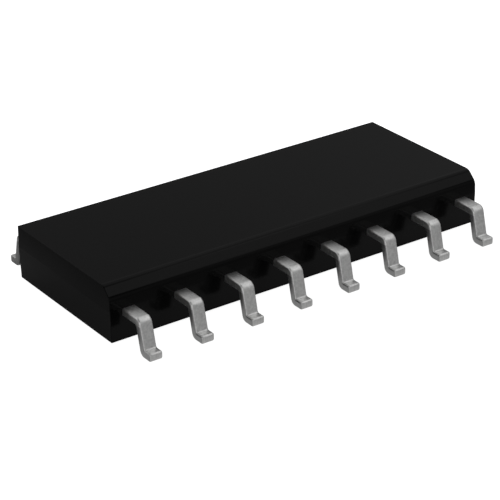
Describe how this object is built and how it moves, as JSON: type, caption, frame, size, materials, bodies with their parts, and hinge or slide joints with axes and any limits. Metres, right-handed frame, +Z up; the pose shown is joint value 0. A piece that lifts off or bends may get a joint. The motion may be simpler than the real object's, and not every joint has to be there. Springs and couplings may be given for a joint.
{
  "type": "soic chip",
  "caption": "Black moulded small-outline integrated circuit with a row of gull-wing leads along each long side, for surface mounting.",
  "frame": {"origin": "on the surface it stands on, under the middle of the body", "axes": "+X along the two rows of leads, +Z up out of the body's top, +Y away from the row of leads under the bevelled top edge"},
  "size_m": [0.0098, 0.0058, 0.0014],
  "materials": {
    "mould_compound": "black epoxy moulding compound, satin",
    "tinned_lead": "matt tin plating on a copper alloy lead",
    "lead_frame": "bare copper alloy lead frame",
    "die_adhesive": "silver-filled epoxy",
    "silicon": "polished silicon",
    "bond_wire": "drawn gold wire"
  },
  "bodies": {
    "root": {"body": "mould_compound", "lead_01": "tinned_lead", "lead_02": "tinned_lead", "lead_03": "tinned_lead", "lead_04": "tinned_lead", "lead_05": "tinned_lead", "lead_06": "tinned_lead", "lead_07": "tinned_lead", "lead_08": "tinned_lead", "lead_09": "tinned_lead", "lead_10": "tinned_lead", "lead_11": "tinned_lead", "lead_12": "tinned_lead", "lead_13": "tinned_lead", "lead_14": "tinned_lead", "lead_15": "tinned_lead", "lead_16": "tinned_lead", "die_pad": "lead_frame", "die_attach": "die_adhesive", "die": "silicon", "wire_01": "bond_wire", "wire_02": "bond_wire", "wire_03": "bond_wire", "wire_04": "bond_wire", "wire_05": "bond_wire", "wire_06": "bond_wire", "wire_07": "bond_wire", "wire_08": "bond_wire", "wire_09": "bond_wire", "wire_10": "bond_wire", "wire_11": "bond_wire", "wire_12": "bond_wire", "wire_13": "bond_wire", "wire_14": "bond_wire", "wire_15": "bond_wire", "wire_16": "bond_wire"}
  },
  "joints": []
}
